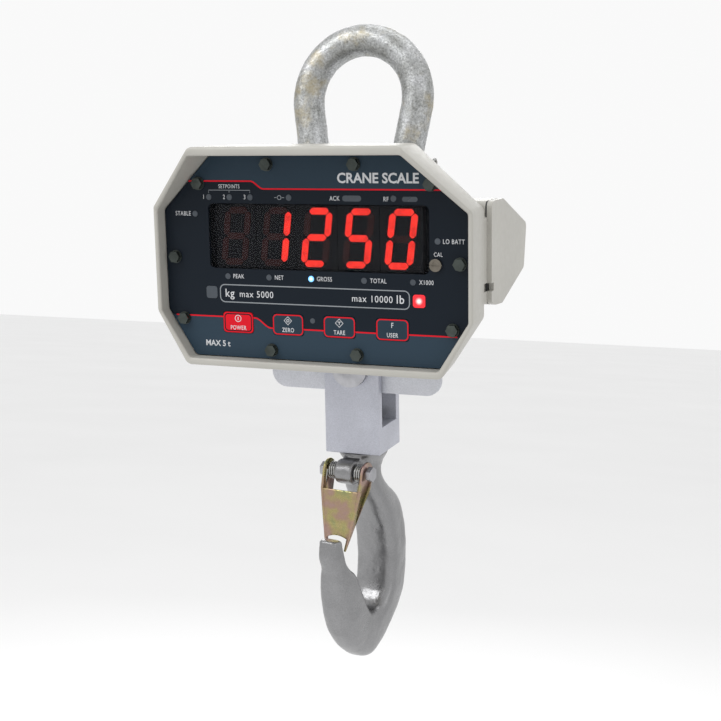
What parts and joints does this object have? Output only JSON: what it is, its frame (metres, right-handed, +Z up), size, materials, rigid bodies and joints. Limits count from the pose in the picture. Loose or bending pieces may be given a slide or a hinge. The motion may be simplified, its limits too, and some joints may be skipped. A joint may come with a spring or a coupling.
{
  "type": "crane scale",
  "caption": "Hanging crane scale: bow shackle and load cell, display housing with panel keys, rear battery pods, fork block and swivel hook with a spring latch.",
  "frame": {"origin": "inside crown of the bow shackle, where the crane's hook bears", "axes": "+Z up, -Y towards the display's reader, +X to the right as seen from the display side"},
  "size_m": [0.255, 0.2366, 0.5212],
  "materials": {
    "galvanised_steel": "matte",
    "zinc_steel": "satin",
    "load_cell_steel": "satin",
    "bracket_paint": "satin",
    "housing_paint": "satin",
    "panel_print": "satin",
    "window_tint": "gloss",
    "numeral_body": "matte",
    "lit_red": "gloss",
    "unlit_segment": "satin",
    "lamp_grey": "gloss",
    "lamp_blue": "gloss",
    "key_red": "satin",
    "key_dark": "satin",
    "black_rubber": "matte",
    "black_screw": "satin",
    "circuit_board": "satin",
    "component_black": "matte",
    "brass_post": "satin",
    "radio_can": "satin",
    "tray_plastic": "matte",
    "cell_jacket": "satin",
    "spring_steel": "satin",
    "block_steel": "satin",
    "forged_paint": "satin",
    "yellow_zinc": "satin"
  },
  "bodies": {
    "shackle": {"shackle": "galvanised_steel", "shackle_pin": "zinc_steel", "shackle_nut": "zinc_steel", "shackle_cotter": "spring_steel"},
    "scale": {"load_cell": "load_cell_steel", "gauge_covers": "zinc_steel", "cell_cable": "black_rubber", "cable_glands": "component_black", "bracket_plate": "bracket_paint", "bracket_bolts": "zinc_steel", "bracket_spacers": "zinc_steel", "housing_bolts": "zinc_steel", "housing_nuts": "zinc_steel", "front_housing": "housing_paint", "panel_gasket": "black_rubber", "front_panel": "panel_print", "panel_screws": "black_screw", "display_window": "window_tint", "digit_modules": "numeral_body", "digits_lit": "lit_red", "digits_dark": "unlit_segment", "status_lamps": "lamp_grey", "gross_lamp": "lamp_blue", "unit_lamp": "lit_red", "key_switches": "component_black", "cal_screw": "black_screw", "display_board": "circuit_board", "main_board": "circuit_board", "board_parts": "component_black", "board_standoffs": "brass_post", "radio_module": "radio_can", "neck_frame": "housing_paint", "rear_housing": "housing_paint", "door_gaskets": "black_rubber", "door_hinge_pins": "zinc_steel", "battery_tray_left": "tray_plastic", "battery_tray_right": "tray_plastic", "battery_cells": "cell_jacket", "battery_springs": "spring_steel"},
    "door_left": {"battery_door_left": "housing_paint"},
    "door_right": {"battery_door_right": "housing_paint"},
    "key_power": {"key_power": "key_red"},
    "key_zero": {"key_zero": "key_dark"},
    "key_tare": {"key_tare": "key_dark"},
    "key_user": {"key_user": "key_dark"},
    "block": {"hook_block": "block_steel", "lower_pin": "zinc_steel", "lower_pin_ring": "spring_steel", "bearing_lower_race": "spring_steel"},
    "hook": {"hook": "forged_paint", "bearing_upper_race": "spring_steel", "bearing_balls": "spring_steel", "hook_nut": "zinc_steel", "nut_lock_pin": "spring_steel", "latch_pin": "zinc_steel", "latch_nut": "zinc_steel", "latch_spring": "spring_steel"},
    "latch": {"latch": "yellow_zinc"}
  },
  "joints": [
    {"name": "suspension", "type": "hinge", "parent": "shackle", "child": "scale", "pos_m": [0, 0, -0.11], "axis": [1, 0, 0], "range_deg": [-30, 30]},
    {"name": "block_swing", "type": "hinge", "parent": "scale", "child": "block", "pos_m": [0, 0.02151, -0.24581], "axis": [0, 0.9877, 0.1564], "range_deg": [-6, 6]},
    {"name": "hook_swivel", "type": "hinge", "parent": "block", "child": "hook", "pos_m": [0, 0.04693, -0.40631], "axis": [0, -0.1564, 0.9877], "continuous": true},
    {"name": "latch_hinge", "type": "hinge", "parent": "hook", "child": "latch", "pos_m": [-0.00329, 0.00842, -0.33445], "axis": [0.9925, -0.1204, -0.0191], "range_deg": [0, 45], "stiffness_Nm_per_rad": 0.25, "springref_deg": -20.05, "deforming": ["latch_spring"]},
    {"name": "door_left_hinge", "type": "hinge", "parent": "scale", "child": "door_left", "pos_m": [-0.1185, 0.05081, -0.13992], "axis": [0, 0.1564, -0.9877], "range_deg": [0, 100]},
    {"name": "door_right_hinge", "type": "hinge", "parent": "scale", "child": "door_right", "pos_m": [0.1185, 0.05081, -0.13992], "axis": [0, -0.1564, 0.9877], "range_deg": [0, 100]},
    {"name": "key_power_press", "type": "slide", "parent": "scale", "child": "key_power", "axis": [0, 0.9877, 0.1564], "range_m": [0, 0.0008], "stiffness_N_per_m": 1500},
    {"name": "key_zero_press", "type": "slide", "parent": "scale", "child": "key_zero", "axis": [0, 0.9877, 0.1564], "range_m": [0, 0.0008], "stiffness_N_per_m": 1500},
    {"name": "key_tare_press", "type": "slide", "parent": "scale", "child": "key_tare", "axis": [0, 0.9877, 0.1564], "range_m": [0, 0.0008], "stiffness_N_per_m": 1500},
    {"name": "key_user_press", "type": "slide", "parent": "scale", "child": "key_user", "axis": [0, 0.9877, 0.1564], "range_m": [0, 0.0008], "stiffness_N_per_m": 1500}
  ]
}
